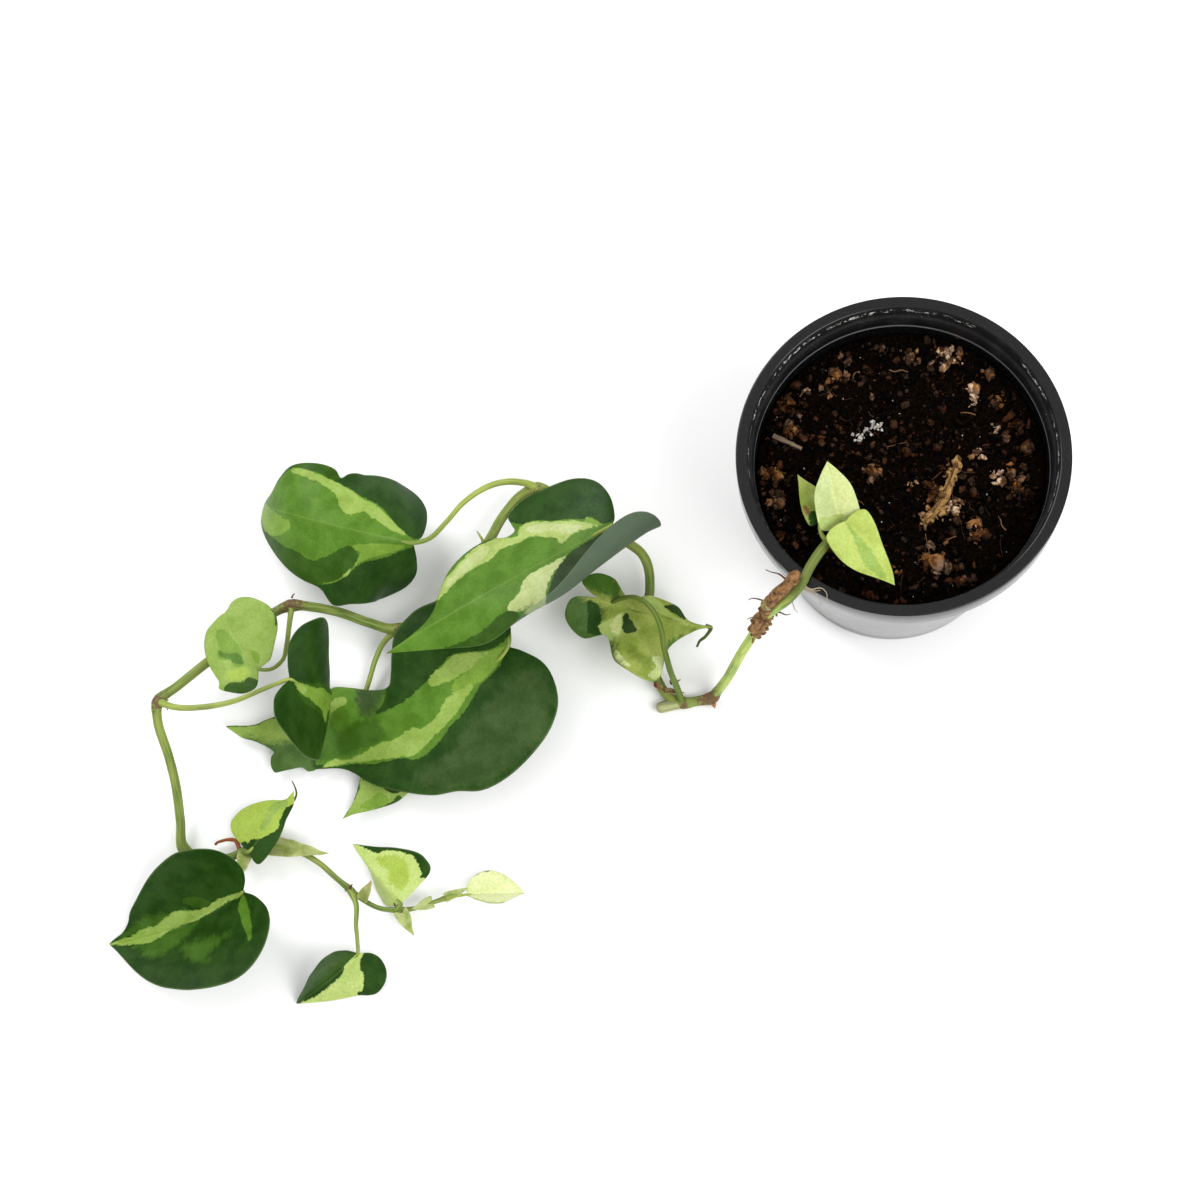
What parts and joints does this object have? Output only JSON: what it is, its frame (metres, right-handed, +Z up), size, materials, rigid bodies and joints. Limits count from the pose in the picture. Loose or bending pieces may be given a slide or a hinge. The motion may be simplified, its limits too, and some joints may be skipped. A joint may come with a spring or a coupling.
{
  "type": "potted variegated philodendron vine",
  "caption": "Trailing heart-leaf vine with cream, lime and dark green splashes, growing over the rim of a round black nursery pot of soil.",
  "frame": {"origin": "centre of the pot's flat base, on the surface that the pot stands on", "axes": "+Z up along the pot's axis; the vine leaves the pot towards -X and -Y and trails along the surface"},
  "size_m": [0.3287, 0.2164, 0.1062],
  "materials": {
    "pot": "black moulded plastic with a soft gloss and faint turning marks",
    "soil": "moist dark potting mix with bark crumbs and white perlite",
    "stem": "smooth green living stem with brown joints",
    "bark": "rough brown bark and dry root tissue",
    "twig": "dry grey-brown twig",
    "leaf_dark": "dark green leaf with lime streaks and a waxy sheen",
    "leaf_mid": "mid green leaf with dark lobes and cream and lime streaks, waxy sheen",
    "leaf_lime": "lime leaf with mid green patches, waxy sheen",
    "leaf_pale": "young cream-green leaf, soft sheen"
  },
  "bodies": {
    "root": {"pot": "pot", "soil": "soil", "twig": "twig", "bark_strip": "bark", "vine": "stem", "old_wood_and_roots": "bark", "leaf_01_crown_cream": "leaf_pale", "leaf_02_crown_lime": "leaf_lime", "leaf_03_crown_dull": "leaf_mid", "leaf_04_crumpled": "leaf_mid", "leaf_05_folded": "leaf_mid", "leaf_06_arched": "leaf_mid", "leaf_07_largest": "leaf_dark", "leaf_08_tucked": "leaf_lime", "leaf_09_hidden_lime": "leaf_lime", "leaf_10_round_lime": "leaf_lime", "leaf_11_hanging_dark": "leaf_dark", "leaf_12_broad_dark": "leaf_dark", "leaf_13_small_curled": "leaf_lime", "leaf_14_small_folded": "leaf_dark", "leaf_15_small_lime": "leaf_lime", "leaf_16_end_pale": "leaf_pale"}
  },
  "joints": []
}
